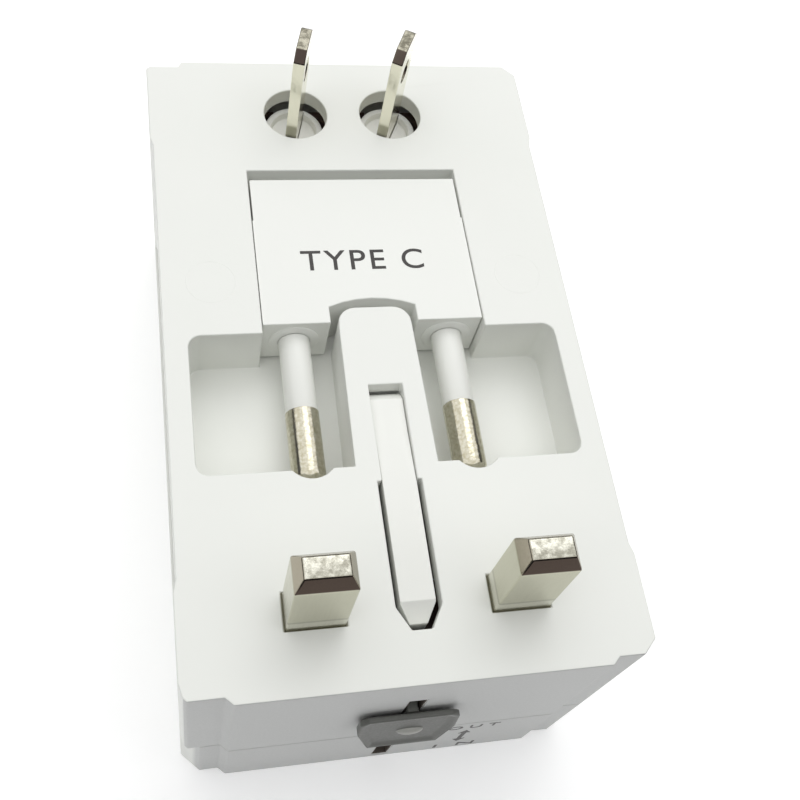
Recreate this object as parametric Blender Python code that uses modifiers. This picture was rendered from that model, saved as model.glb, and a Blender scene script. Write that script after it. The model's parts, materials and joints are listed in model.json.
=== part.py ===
"""Universal travel adapter: sliding UK and US plugs, folding two-pin block, folding earth pin.

Frame: +Z is the outward normal of the plug face, X runs across the body and Y along it,
with the UK pins at the -Y end and the US blades at the +Y end. The origin is at the bottom
centre of the body, so the adapter stands on its socket face with all plugs pointing up.
"""
import math

import bmesh
import bpy
from mathutils import Euler, Matrix, Vector

MM = 0.001

# Body
BODY_LENGTH = 85.0 * MM
BODY_WIDTH = 50.6 * MM
BODY_HEIGHT = 38.0 * MM
SEAM_HEIGHT = 15.0 * MM
SEAM_GAP = 0.15 * MM
FACE_THICKNESS = 2.2 * MM
FLOOR_THICKNESS = 2.0 * MM
CAVITY_HALF_X = 22.9 * MM
CAVITY_HALF_Y = 40.2 * MM
GAP = 0.3 * MM
AXLE_GAP = 0.2 * MM

# Outline of the ends: a centre section stands proud of the four corner pads
CENTRE_HALF = 20.7 * MM
PAD_SETBACK = 0.85 * MM
PAD_EDGE = 0.75 * MM
PAD_SLOPE = 0.05 * MM
SIDE_SETBACK = 0.35 * MM
SIDE_PANEL_NEAR = 12.1 * MM
SIDE_PANEL_FAR = 12.9 * MM

# Tray in the plug face for the two-pin block and its pins
TRAY_FLOOR = 30.0 * MM
TRAY_SKIN = 1.8 * MM
TRAY_NEAR = -17.65 * MM
TRAY_FAR = 0.0 * MM
TRAY_HALF = 22.15 * MM
TRAY_RADIUS = 1.5 * MM
BAY_HALF = 13.5 * MM
BAY_FAR = 24.1 * MM
BAY_WALL = 1.9 * MM
TRAY_WALL = 2.2 * MM
HINGE_POCKET_NEAR = 12.5 * MM
HINGE_POCKET_FLOOR = 28.2 * MM
RIDGE_HALF = 4.45 * MM
RIDGE_NEAR_HALF = 4.8 * MM
RIDGE_FAR = 3.2 * MM
RIDGE_RADIUS = 2.2 * MM
PIN_NOTCH_Y = -15.85 * MM
PIN_NOTCH_RADIUS = 2.9 * MM

# Two-pin (type C) block
BLOCK_HALF = 13.4 * MM
BLOCK_SHOULDER_HALF = 13.28 * MM
BLOCK_SHOULDER_NEAR = 16.5 * MM
BLOCK_NEAR = 1.25 * MM
BLOCK_FAR = 22.85 * MM
BLOCK_TOP = 37.8 * MM
BLOCK_BOTTOM = 30.3 * MM
BLOCK_NOTCH_HALF = 5.3 * MM
BLOCK_NOTCH_SIDE = 3.5 * MM
BLOCK_NOTCH_MIDDLE = 4.55 * MM
BLOCK_TOP_CHAMFER = 0.15 * MM
BLOCK_BOTTOM_RADIUS = 2.5 * MM
EU_AXIS_Y = 18.5 * MM
EU_AXIS_Z = 34.6 * MM
EU_PIN_X = 9.5 * MM
EU_PIN_Z = 34.0 * MM
EU_PIN_RADIUS = 2.0 * MM
EU_SLEEVE_RADIUS = 1.9 * MM
EU_CORE_RADIUS = 1.3 * MM
EU_NOSE_RADIUS = 1.2 * MM
EU_PIN_TIP = -18.0 * MM
EU_SLEEVE_TIP = -8.8 * MM
EU_PIN_TAIL = 22.4 * MM
EU_STUB_RADIUS = 1.0 * MM
EU_STUB_INNER = 12.0 * MM
EU_STUB_OUTER = 14.8 * MM
EU_CONTACT_SLOT_HALF = 1.8 * MM
EU_CONTACT_SLOT_NEAR = 14.0 * MM
EU_CONTACT_SLOT_FAR = 15.1 * MM

# UK (type G) plug: live and neutral pins 22.2 mm apart, earth pin 22.2 mm from their line
UK_PIN_X = 11.1 * MM
UK_PIN_Y = -33.5 * MM
UK_PIN_WIDTH = 6.35 * MM
UK_PIN_DEPTH = 4.0 * MM
UK_HOLE_GAP = 0.15 * MM
UK_PIN_BOTTOM = 23.2 * MM
UK_PIN_SHOULDER = 49.25 * MM
UK_PIN_TIP = 51.1 * MM
UK_PIN_TIP_INSET = 0.88 * MM
EARTH_OFFSET = 22.2 * MM
EARTH_AXIS_Y = UK_PIN_Y + EARTH_OFFSET
EARTH_AXIS_Z = 33.8 * MM
EARTH_ROOT_RADIUS = 4.15 * MM
EARTH_ROOT_HALF = 1.75 * MM
EARTH_ROOT_TOP = 37.35 * MM
EARTH_ROOT_NEAR = -13.5 * MM
EARTH_PIN_HALF = 1.95 * MM
EARTH_PIN_SHOULDER = -20.7 * MM
EARTH_PIN_TAPER = -33.5 * MM
EARTH_PIN_TIP = -35.65 * MM
EARTH_TIP_HALF = 0.95 * MM
EARTH_PIN_TOP = 37.8 * MM
EARTH_PIN_BOTTOM = 29.8 * MM
EARTH_AXLE_RADIUS = 0.75 * MM
EARTH_AXLE_HALF = 3.5 * MM
EARTH_SLOT_FAR = -7.45 * MM
EARTH_CAVITY_FAR = -6.85 * MM
EARTH_CAVITY_TOP = 36.0 * MM
EARTH_SLOT_STEP = -19.63 * MM
EARTH_SLOT_TAPER = -34.06 * MM
EARTH_SLOT_NEAR = -36.67 * MM
EARTH_SLOT_ROOT_HALF = 2.03 * MM
EARTH_SLOT_HALF = 2.52 * MM
EARTH_SLOT_TIP_HALF = 1.13 * MM
EARTH_SLOT_FLOOR = 29.3 * MM

# US (type A) plug: two blades 12.7 mm apart on turrets that turn to the type I angle
US_BLADE_X = 6.35 * MM
US_BLADE_Y = 33.58 * MM
US_BLADE_THICKNESS = 1.4 * MM
US_BLADE_WIDTH = 6.3 * MM
US_BLADE_BOTTOM = 24.2 * MM
US_BLADE_SHOULDER = 49.9 * MM
US_BLADE_TIP = 51.1 * MM
US_BLADE_TIP_INSET = 1.4 * MM
US_BLADE_HOLE_Z = 46.2 * MM
US_BLADE_HOLE_RADIUS = 1.55 * MM
US_HOLE_RADIUS = 4.12 * MM
LEFT_BLADE_TURN = math.radians(-16.0)
RIGHT_BLADE_TURN = math.radians(-26.0)
TURRET_RADIUS = 3.85 * MM
TURRET_TOP = 34.85 * MM
TURRET_DISH_RADIUS = 3.0 * MM
TURRET_DISH_DEPTH = 1.0 * MM
TURRET_FLANGE_RADIUS = 4.9 * MM
TURRET_FLANGE_TOP = 28.7 * MM
TURRET_BOTTOM = 26.9 * MM

# Sliders: one at each end, its knob outside a slot in the end wall
SLOT_HALF = 1.0 * MM
NEAR_SLOT_TOP = 31.0 * MM
FAR_SLOT_TOP = 31.7 * MM
SLOT_BOTTOM = 1.0 * MM
KNOB_STANDOFF = 0.4 * MM
KNOB_TOP_THICKNESS = 0.7 * MM
KNOB_BASE_THICKNESS = 1.8 * MM
KNOB_TOP = 27.4 * MM
KNOB_BOTTOM = 18.9 * MM
KNOB_HALF = 5.65 * MM
KNOB_SHIFT = 0.3 * MM
STEM_HALF = 0.7 * MM
STEM_TOP = 27.0 * MM
STEM_BOTTOM = 20.0 * MM
STEM_INNER = 38.7 * MM
TONGUE_INNER = 36.0 * MM
CARRIAGE_END = 38.4 * MM
CARRIAGE_INNER = 28.4 * MM

# Socket side: live and neutral openings 22.2 mm from the earth opening
SOCKET_LINE_Y = -10.0 * MM
SOCKET_EARTH_Y = SOCKET_LINE_Y + EARTH_OFFSET
SOCKET_EARTH_HALF_X = 2.3 * MM
SOCKET_EARTH_HALF_Y = 4.3 * MM

# Conductors
BUS_BAR_X = 16.5 * MM
BUS_BAR_THICKNESS = 0.6 * MM
STRIP_THICKNESS = 0.5 * MM
WIPER_WIDTH = 4.0 * MM
WIRE_RADIUS = 0.8 * MM
SOCKET_CONTACT_INNER = 5.4 * MM
SOCKET_CONTACT_OUTER = 15.9 * MM
EU_CONTACT_HALF = 1.5 * MM
SPRING_THICKNESS = 0.4 * MM
SPRING_HALF = 2.0 * MM

# Case screws
SCREW_X = 20.4 * MM
SCREW_Y = 36.4 * MM
SCREW_SHANK_RADIUS = 1.2 * MM
SCREW_HEAD_RADIUS = 2.5 * MM
SCREW_HEAD_BOTTOM = 0.7 * MM
SCREW_HEAD_TOP = 2.4 * MM
SCREW_END = 24.0 * MM
BOSS_RADIUS = 3.0 * MM

SEGMENTS = 40
SIDES = ((-1, "left"), (1, "right"))


def clear_scene():
    """Remove every object that the file was opened with."""
    for obj in list(bpy.data.objects):
        bpy.data.objects.remove(obj, do_unlink=True)


def new_collection(name):
    """Return a collection of this name, linked to the scene."""
    collection = bpy.data.collections.new(name)
    bpy.context.scene.collection.children.link(collection)
    return collection


def material(name, colour, roughness, metallic=0.0):
    """Return a Principled BSDF material."""
    mat = bpy.data.materials.new(name)
    mat.use_nodes = True
    shader = mat.node_tree.nodes["Principled BSDF"]
    shader.inputs["Base Color"].default_value = (*colour, 1.0)
    shader.inputs["Roughness"].default_value = roughness
    shader.inputs["Metallic"].default_value = metallic
    return mat


clear_scene()
PARTS = new_collection("travel_adapter")
CUTTERS = new_collection("cutters")
JOINTS = new_collection("joint_axes")

SHELL_WHITE = material("shell_white_abs", (0.80, 0.81, 0.77), 0.42)
BLOCK_WHITE = material("block_white_abs", (0.82, 0.83, 0.79), 0.38)
PIN_WHITE = material("pin_white_nylon", (0.84, 0.84, 0.81), 0.35)
KNOB_GREY = material("knob_grey_abs", (0.24, 0.24, 0.22), 0.45)
INNER_WHITE = material("inner_white_pbt", (0.74, 0.74, 0.70), 0.50)
INNER_DARK = material("inner_dark_pbt", (0.050, 0.044, 0.038), 0.55)
NICKEL = material("nickel_plated_brass", (0.66, 0.62, 0.54), 0.22, 1.0)
BRASS = material("brass_strip", (0.78, 0.57, 0.27), 0.30, 1.0)
SPRING_STEEL = material("spring_steel", (0.55, 0.55, 0.56), 0.28, 1.0)
SCREW_STEEL = material("zinc_screw", (0.60, 0.60, 0.58), 0.30, 1.0)
WIRE_RED = material("wire_sleeve", (0.45, 0.03, 0.02), 0.50)


def place(name, mesh, mat=None, location=(0.0, 0.0, 0.0), rotation=(0.0, 0.0, 0.0)):
    """Make an object of a mesh: a part if it has a material, otherwise a cutter."""
    obj = bpy.data.objects.new(name, mesh)
    obj.location = location
    obj.rotation_euler = rotation
    if mat is None:
        CUTTERS.objects.link(obj)
        obj.hide_render = True
        obj.display_type = "WIRE"
    else:
        PARTS.objects.link(obj)
        mesh.materials.append(mat)
    return obj


def mesh_from(bm, name):
    """Write a bmesh to a new mesh and free it."""
    mesh = bpy.data.meshes.new(name)
    bm.to_mesh(mesh)
    bm.free()
    return mesh


def box(name, low, high, mat=None):
    """A rectangular block between two corners."""
    low, high = Vector(low), Vector(high)
    bm = bmesh.new()
    bmesh.ops.create_cube(bm, size=1.0, matrix=Matrix.Diagonal((*(high - low), 1.0)))
    return place(name, mesh_from(bm, name), mat, (low + high) / 2)


def tipped_bar(name, half_x, half_y, bottom, shoulder, tip, inset, mat):
    """An upright rectangular bar whose top end is bevelled in on all four sides."""
    bm = bmesh.new()
    size = Matrix.Diagonal((2 * half_x, 2 * half_y, shoulder - bottom, 1.0))
    middle = Matrix.Translation((0, 0, (bottom + shoulder) / 2))
    bmesh.ops.create_cube(bm, size=1.0, matrix=middle @ size)
    top = max(bm.faces, key=lambda face: face.calc_center_median().z)
    grown = bmesh.ops.extrude_discrete_faces(bm, faces=[top])["faces"][0]
    for vert in grown.verts:
        vert.co.z = tip
        vert.co.x -= math.copysign(inset, vert.co.x)
        vert.co.y -= math.copysign(inset, vert.co.y)
    return place(name, mesh_from(bm, name), mat)


def cylinder(name, radius, start, end, mat=None, segments=SEGMENTS):
    """A cylinder whose axis runs from start to end."""
    start, end = Vector(start), Vector(end)
    bm = bmesh.new()
    bmesh.ops.create_cone(bm, cap_ends=True, segments=segments, radius1=radius, radius2=radius,
                          depth=(end - start).length)
    obj = place(name, mesh_from(bm, name), mat, (start + end) / 2)
    obj.rotation_euler = (end - start).to_track_quat("Z", "Y").to_euler()
    smooth(obj)
    return obj


def smooth(obj):
    """Shade smooth, keeping edges over 30 degrees sharp."""
    obj.data.shade_smooth()
    obj.data.set_sharp_from_angle(angle=math.radians(30))


def turned(name, profile, mat, location=(0.0, 0.0, 0.0), rotation=(0.0, 0.0, 0.0)):
    """A solid of revolution about Z from a profile of (radius, height) running top to bottom."""
    bm = bmesh.new()
    verts = [bm.verts.new((radius, 0.0, height)) for radius, height in profile]
    for first, second in zip(verts, verts[1:]):
        bm.edges.new((first, second))
    obj = place(name, mesh_from(bm, name), mat, location, rotation)
    screw = obj.modifiers.new("turn", "SCREW")
    screw.steps = screw.render_steps = SEGMENTS
    screw.use_merge_vertices = True
    screw.merge_threshold = 0.00001
    screw.use_smooth_shade = True
    return obj


def arc(centre, radius, start, end, steps=6):
    """Points on an arc, with angles in degrees."""
    angles = [math.radians(start + (end - start) * i / steps) for i in range(steps + 1)]
    return [(centre[0] + radius * math.cos(a), centre[1] + radius * math.sin(a)) for a in angles]


def rounded_rectangle(low, high, radius):
    """Anticlockwise outline of a rectangle with round corners."""
    return (arc((high[0] - radius, low[1] + radius), radius, -90, 0)
            + arc((high[0] - radius, high[1] - radius), radius, 0, 90)
            + arc((low[0] + radius, high[1] - radius), radius, 90, 180)
            + arc((low[0] + radius, low[1] + radius), radius, 180, 270))


def solid_of_curve(obj, mat):
    """Replace a curve object by the closed mesh that it evaluates to."""
    graph = bpy.context.evaluated_depsgraph_get()
    mesh = bpy.data.meshes.new_from_object(obj.evaluated_get(graph))
    name = obj.name
    bm = bmesh.new()
    bm.from_mesh(mesh)
    bmesh.ops.remove_doubles(bm, verts=bm.verts, dist=0.000001)
    bm.to_mesh(mesh)
    bm.free()
    mesh.materials.clear()
    world = obj.matrix_world.copy()
    bpy.data.objects.remove(obj, do_unlink=True)
    solid = place(name, mesh, mat)
    solid.matrix_world = world
    return solid


def plate(name, outline, low, high, mat=None, rotation=(0.0, 0.0, 0.0)):
    """A flat outline given a thickness from low to high along its own Z, then turned."""
    curve = bpy.data.curves.new(name, "CURVE")
    curve.dimensions = "2D"
    curve.fill_mode = "BOTH"
    curve.extrude = (high - low) / 2
    spline = curve.splines.new("POLY")
    spline.points.add(len(outline) - 1)
    for point, (x, y) in zip(spline.points, outline):
        point.co = (x, y, 0.0, 1.0)
    spline.use_cyclic_u = True
    obj = bpy.data.objects.new(name, curve)
    CUTTERS.objects.link(obj)
    turn = Euler(rotation).to_matrix().to_4x4()
    obj.matrix_world = turn @ Matrix.Translation((0, 0, (low + high) / 2))
    bpy.context.view_layer.update()
    return solid_of_curve(obj, mat)


# Turns that stand an outline upright: SIDE_VIEW turns (y, z) points and extrudes them along X,
# END_VIEW turns (x, z) points and extrudes them along -Y.
SIDE_VIEW = (math.pi / 2, 0.0, math.pi / 2)
END_VIEW = (math.pi / 2, 0.0, 0.0)


def strip(name, path, low, high, axis, mat, thickness=STRIP_THICKNESS):
    """A bent metal strip: a path in a plane, given a width along the axis across that plane.

    The path holds (y, z) points when the axis is X, and (x, z) points when it is Y.
    """
    def corner(point, across):
        if axis == "X":
            return (across, point[0], point[1])
        return (point[0], across, point[1])

    bm = bmesh.new()
    rows = [(bm.verts.new(corner(p, low)), bm.verts.new(corner(p, high))) for p in path]
    for (a, b), (c, d) in zip(rows, rows[1:]):
        bm.faces.new((a, b, d, c))
    obj = place(name, mesh_from(bm, name), mat)
    solidify = obj.modifiers.new("thickness", "SOLIDIFY")
    solidify.thickness = thickness
    solidify.offset = 0.0
    solidify.use_even_offset = True
    return obj


def tube(name, path, radius, mat):
    """A round wire along a path."""
    curve = bpy.data.curves.new(name, "CURVE")
    curve.dimensions = "3D"
    curve.bevel_depth = radius
    curve.bevel_resolution = 2
    curve.use_fill_caps = True
    spline = curve.splines.new("POLY")
    spline.points.add(len(path) - 1)
    for point, co in zip(spline.points, path):
        point.co = (*co, 1.0)
    obj = bpy.data.objects.new(name, curve)
    CUTTERS.objects.link(obj)
    bpy.context.view_layer.update()
    return solid_of_curve(obj, mat)


def boolean(obj, tool, operation):
    """Cut, join or intersect a part with a tool object."""
    modifier = obj.modifiers.new(tool.name, "BOOLEAN")
    modifier.operation = operation
    modifier.solver = "EXACT"
    modifier.object = tool


def cut(obj, *tools):
    for tool in tools:
        boolean(obj, tool, "DIFFERENCE")


def join(obj, *tools):
    for tool in tools:
        boolean(obj, tool, "UNION")


def axis_empty(name, location, turn=0.0):
    """An empty on a joint's axis, which carries the pieces that move with the joint."""
    empty = bpy.data.objects.new(name, None)
    empty.empty_display_size = 0.01
    empty.location = location
    empty.rotation_euler = (0.0, 0.0, turn)
    JOINTS.objects.link(empty)
    bpy.context.view_layer.update()
    return empty


def carry(empty, *objects):
    """Parent objects to a joint's empty, keeping their place in the world."""
    for obj in objects:
        obj.parent = empty
        obj.matrix_parent_inverse = empty.matrix_world.inverted()


def carry_local(empty, *objects):
    """Parent objects that were modelled about the joint's axis."""
    for obj in objects:
        obj.parent = empty


def in_mm(path, side=1, shift=0.0):
    """Path points given in millimetres, with the first coordinate mirrored by side and shifted."""
    return [(side * first * MM + shift, second * MM) for first, second in path]


def mirrored(outline, side):
    """Mirror an outline's first coordinate for the left side, keeping it anticlockwise."""
    if side > 0:
        return outline
    return [(-x, y) for x, y in reversed(outline)]


# ---------------------------------------------------------------- shells

def upper_outline():
    """Plan of the upper shell, anticlockwise from the near left end of the centre section."""
    half_x = BODY_WIDTH / 2
    half_y = BODY_LENGTH / 2
    panel = half_x - SIDE_SETBACK
    pad = half_y - PAD_SETBACK
    near, far = half_y - SIDE_PANEL_NEAR, half_y - SIDE_PANEL_FAR
    small, large, slope = 0.4 * MM, 1.6 * MM, 1.3 * MM
    return [
        (-CENTRE_HALF + PAD_EDGE, -half_y), (CENTRE_HALF - PAD_EDGE, -half_y),
        (CENTRE_HALF + 0.1 * MM, -pad), (half_x - large, -pad - PAD_SLOPE), (half_x, -pad + large),
        (half_x, -near), (panel, -near + slope), (panel, far - slope), (half_x, far),
        (half_x, half_y - large), (half_x - large, half_y),
        (-CENTRE_HALF, half_y), (-CENTRE_HALF - 0.5 * MM, pad), (-half_x + small, pad),
        (-half_x, pad - small), (-half_x, far), (-panel, far - slope), (-panel, -near + slope),
        (-half_x, -near), (-half_x, -pad + 5 * small), (-half_x + small, -pad + small),
        (-half_x + 2 * small, -pad - PAD_SLOPE), (-CENTRE_HALF - 0.1 * MM, -pad),
    ]


def lower_outline():
    """Plan of the lower shell, which keeps straight sides and has larger corner chamfers."""
    half_x = BODY_WIDTH / 2
    half_y = BODY_LENGTH / 2
    pad = half_y - PAD_SETBACK
    corner, foot, step = 2.2 * MM, 1.6 * MM, 0.3 * MM
    near_right = [
        (CENTRE_HALF - PAD_EDGE, -half_y), (CENTRE_HALF + 0.1 * MM, -pad),
        (half_x - foot, -pad - PAD_SLOPE), (half_x, -pad + foot),
    ]
    far_left = [
        (-CENTRE_HALF, half_y), (-CENTRE_HALF - step, pad),
        (-half_x + foot, pad), (-half_x, pad - foot),
    ]
    near_left = [
        (-half_x, -pad + corner), (-half_x + corner, -pad - PAD_SLOPE),
        (-CENTRE_HALF - 0.1 * MM, -pad), (-CENTRE_HALF + PAD_EDGE, -half_y),
    ]
    far_right = [(half_x, half_y - corner), (half_x - corner, half_y)]
    return near_right + far_right + far_left + near_left


def ridge_outline():
    """The slightly tapered tongue between the pin recesses, with round corners at its far end."""
    low = TRAY_NEAR - 1.0 * MM
    return ([(-RIDGE_NEAR_HALF, low), (RIDGE_NEAR_HALF, low)]
            + arc((RIDGE_HALF - RIDGE_RADIUS, RIDGE_FAR - RIDGE_RADIUS), RIDGE_RADIUS, 0, 90)
            + arc((-RIDGE_HALF + RIDGE_RADIUS, RIDGE_FAR - RIDGE_RADIUS), RIDGE_RADIUS, 90, 180))


def earth_slot_outline():
    """Plan of the slot that the earth pin folds into."""
    right = [
        (EARTH_SLOT_TIP_HALF, EARTH_SLOT_NEAR), (EARTH_SLOT_HALF, EARTH_SLOT_TAPER),
        (EARTH_SLOT_HALF, EARTH_SLOT_STEP), (EARTH_SLOT_ROOT_HALF, EARTH_SLOT_STEP),
        (EARTH_SLOT_ROOT_HALF, EARTH_SLOT_FAR),
    ]
    return right + [(-x, y) for x, y in reversed(right)]


def end_slot(name, end):
    """The slot in an end wall that a slider's stem runs in; end is -1 near and 1 far."""
    inner, outer = CAVITY_HALF_Y - 2 * MM, BODY_LENGTH / 2 + MM
    low, high = sorted((end * inner, end * outer))
    top = NEAR_SLOT_TOP if end < 0 else FAR_SLOT_TOP
    return box(name, (-SLOT_HALF, low, SLOT_BOTTOM), (SLOT_HALF, high, top))


def screw_places():
    """Number and plan position of each case screw."""
    corners = [(x, y) for y in (-SCREW_Y, SCREW_Y) for x in (-SCREW_X, SCREW_X)]
    return list(enumerate(corners, start=1))


def upper_shell():
    """Plug-side shell: face, end and side walls, tray, ridge and screw pillars."""
    underside = BODY_HEIGHT - FACE_THICKNESS
    above = BODY_HEIGHT + MM
    merge = 0.5 * MM
    shell = plate("upper_shell", upper_outline(), SEAM_HEIGHT, BODY_HEIGHT, SHELL_WHITE)
    cut(shell, box("upper_cavity", (-CAVITY_HALF_X, -CAVITY_HALF_Y, SEAM_HEIGHT - MM),
                   (CAVITY_HALF_X, CAVITY_HALF_Y, underside)))
    tray_low = TRAY_FLOOR - TRAY_SKIN
    bay_wall = BAY_HALF + BAY_WALL
    recess = rounded_rectangle((-TRAY_HALF, TRAY_NEAR), (TRAY_HALF, TRAY_FAR), TRAY_RADIUS)
    join(shell,
         box("tray_block", (-CAVITY_HALF_X - GAP, TRAY_NEAR - TRAY_WALL, tray_low),
             (CAVITY_HALF_X + GAP, TRAY_FAR + TRAY_WALL, underside + merge)),
         box("bay_block", (-bay_wall, TRAY_FAR, HINGE_POCKET_FLOOR - TRAY_SKIN),
             (bay_wall, BAY_FAR + TRAY_WALL, underside + merge)))
    cut(shell,
        plate("tray_recess", recess, TRAY_FLOOR, above),
        box("block_bay", (-BAY_HALF, TRAY_FAR - MM, TRAY_FLOOR), (BAY_HALF, BAY_FAR, above)),
        box("hinge_pocket", (-BAY_HALF, HINGE_POCKET_NEAR, HINGE_POCKET_FLOOR),
            (BAY_HALF, BAY_FAR, TRAY_FLOOR + MM)))
    join(shell, plate("ridge", ridge_outline(), tray_low + merge, BODY_HEIGHT))
    cut(shell,
        plate("earth_slot", earth_slot_outline(), EARTH_SLOT_FLOOR, above),
        box("earth_cavity", (-EARTH_SLOT_ROOT_HALF, EARTH_AXIS_Y, EARTH_SLOT_FLOOR),
            (EARTH_SLOT_ROOT_HALF, EARTH_CAVITY_FAR, EARTH_CAVITY_TOP)))
    reach = EARTH_AXLE_HALF + AXLE_GAP
    cut(shell, cylinder("earth_axle_hole", EARTH_AXLE_RADIUS + AXLE_GAP, (-reach, EARTH_AXIS_Y, EARTH_AXIS_Z),
                        (reach, EARTH_AXIS_Y, EARTH_AXIS_Z), segments=24))
    for side, word in SIDES:
        pin_x, blade_x, eu_x = side * UK_PIN_X, side * US_BLADE_X, side * EU_PIN_X
        half_width, half_depth = UK_PIN_WIDTH / 2 + UK_HOLE_GAP, UK_PIN_DEPTH / 2 + UK_HOLE_GAP
        cut(shell,
            cylinder("pin_notch_" + word, PIN_NOTCH_RADIUS, (eu_x, PIN_NOTCH_Y, TRAY_FLOOR),
                     (eu_x, PIN_NOTCH_Y, above)),
            cylinder("stub_hole_" + word, EU_STUB_RADIUS + AXLE_GAP,
                     (side * (BAY_HALF - MM), EU_AXIS_Y, EU_AXIS_Z),
                     (side * (EU_STUB_OUTER + AXLE_GAP), EU_AXIS_Y, EU_AXIS_Z), segments=24),
            cylinder("blade_hole_" + word, US_HOLE_RADIUS, (blade_x, US_BLADE_Y, underside - MM),
                     (blade_x, US_BLADE_Y, above), segments=64),
            box("uk_pin_hole_" + word, (pin_x - half_width, UK_PIN_Y - half_depth, underside - MM),
                (pin_x + half_width, UK_PIN_Y + half_depth, above)),
            box("eu_contact_slot_" + word,
                (eu_x - EU_CONTACT_SLOT_HALF, EU_CONTACT_SLOT_NEAR, HINGE_POCKET_FLOOR - 3 * MM),
                (eu_x + EU_CONTACT_SLOT_HALF, EU_CONTACT_SLOT_FAR, HINGE_POCKET_FLOOR + MM)))
    for number, (x, y) in screw_places():
        join(shell, cylinder(f"upper_boss_{number}", BOSS_RADIUS, (x, y, SEAM_HEIGHT + SEAM_GAP),
                             (x, y, underside + merge), segments=32))
        cut(shell, cylinder(f"upper_pilot_{number}", SCREW_SHANK_RADIUS + GAP, (x, y, SEAM_HEIGHT - MM),
                            (x, y, SCREW_END + MM), segments=20))
    cut(shell, end_slot("upper_slot_near", -1), end_slot("upper_slot_far", 1))
    return shell


def socket_opening(name, side):
    """Live or neutral opening for UK pins, round pins and flat blades in one shape."""
    half_uk = UK_PIN_WIDTH / 2 + 0.4 * MM
    half_depth = UK_PIN_DEPTH / 2 + 0.3 * MM
    blade_half = 1.1 * MM
    blade_reach = US_BLADE_WIDTH / 2 + 0.45 * MM
    y = SOCKET_LINE_Y
    outline = [
        (US_BLADE_X - blade_half, y - blade_reach), (US_BLADE_X + blade_half, y - blade_reach),
        (US_BLADE_X + blade_half, y - half_depth), (UK_PIN_X + half_uk, y - half_depth),
        (UK_PIN_X + half_uk, y + half_depth), (US_BLADE_X + blade_half, y + half_depth),
        (US_BLADE_X + blade_half, y + blade_reach), (US_BLADE_X - blade_half, y + blade_reach),
    ]
    return plate(name, mirrored(outline, side), -MM, FLOOR_THICKNESS + MM)


def lower_shell():
    """Socket-side shell: floor with the socket openings, walls, locating lip and screw bosses."""
    top = SEAM_HEIGHT - SEAM_GAP
    shell = plate("lower_shell", lower_outline(), 0.0, top, SHELL_WHITE)
    cut(shell, box("lower_cavity", (-CAVITY_HALF_X, -CAVITY_HALF_Y, FLOOR_THICKNESS),
                   (CAVITY_HALF_X, CAVITY_HALF_Y, top + MM)))
    lip_x, lip_y = CAVITY_HALF_X - GAP, CAVITY_HALF_Y - GAP
    lip = box("lip", (-lip_x, -lip_y, top - 3 * MM), (lip_x, lip_y, top + 2 * MM))
    root = box("lip_root", (-CAVITY_HALF_X - GAP, -CAVITY_HALF_Y - GAP, top - 3 * MM),
               (CAVITY_HALF_X + GAP, CAVITY_HALF_Y + GAP, top - MM))
    thickness = 1.1 * MM
    join(shell, lip, root)
    cut(shell, box("lip_bore", (-lip_x + thickness, -lip_y + thickness, FLOOR_THICKNESS + MM),
                   (lip_x - thickness, lip_y - thickness, top + 3 * MM)))
    for number, (x, y) in screw_places():
        cut(shell, cylinder(f"boss_relief_{number}", BOSS_RADIUS + GAP, (x, y, top - 2 * GAP),
                            (x, y, top + 3 * MM), segments=32))
        join(shell, cylinder(f"lower_boss_{number}", BOSS_RADIUS, (x, y, MM), (x, y, top), segments=32))
        cut(shell,
            cylinder(f"screw_hole_{number}", SCREW_SHANK_RADIUS + GAP, (x, y, -MM),
                     (x, y, top + MM), segments=20),
            cylinder(f"head_recess_{number}", SCREW_HEAD_RADIUS + GAP, (x, y, -MM),
                     (x, y, SCREW_HEAD_TOP + GAP), segments=32))
    for side, word in SIDES:
        cut(shell, socket_opening("socket_opening_" + word, side))
    cut(shell,
        box("earth_opening", (-SOCKET_EARTH_HALF_X, SOCKET_EARTH_Y - SOCKET_EARTH_HALF_Y, -MM),
            (SOCKET_EARTH_HALF_X, SOCKET_EARTH_Y + SOCKET_EARTH_HALF_Y, FLOOR_THICKNESS + MM)),
        end_slot("lower_slot_near", -1), end_slot("lower_slot_far", 1))
    return shell


def case_screws():
    """Pan-head screws that hold the shells together, driven from the socket side."""
    point_radius, point_length, crown = 0.5 * MM, 2.0 * MM, 0.6 * MM
    profile = [
        (0.0, SCREW_END), (point_radius, SCREW_END),
        (SCREW_SHANK_RADIUS, SCREW_END - point_length), (SCREW_SHANK_RADIUS, SCREW_HEAD_TOP),
        (SCREW_HEAD_RADIUS, SCREW_HEAD_TOP), (SCREW_HEAD_RADIUS, SCREW_HEAD_BOTTOM + crown),
        (SCREW_HEAD_RADIUS - crown, SCREW_HEAD_BOTTOM), (0.0, SCREW_HEAD_BOTTOM),
    ]
    for number, (x, y) in screw_places():
        turned(f"case_screw_{number}", profile, SCREW_STEEL, (x, y, 0.0))


# ---------------------------------------------------------------- sliders

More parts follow.
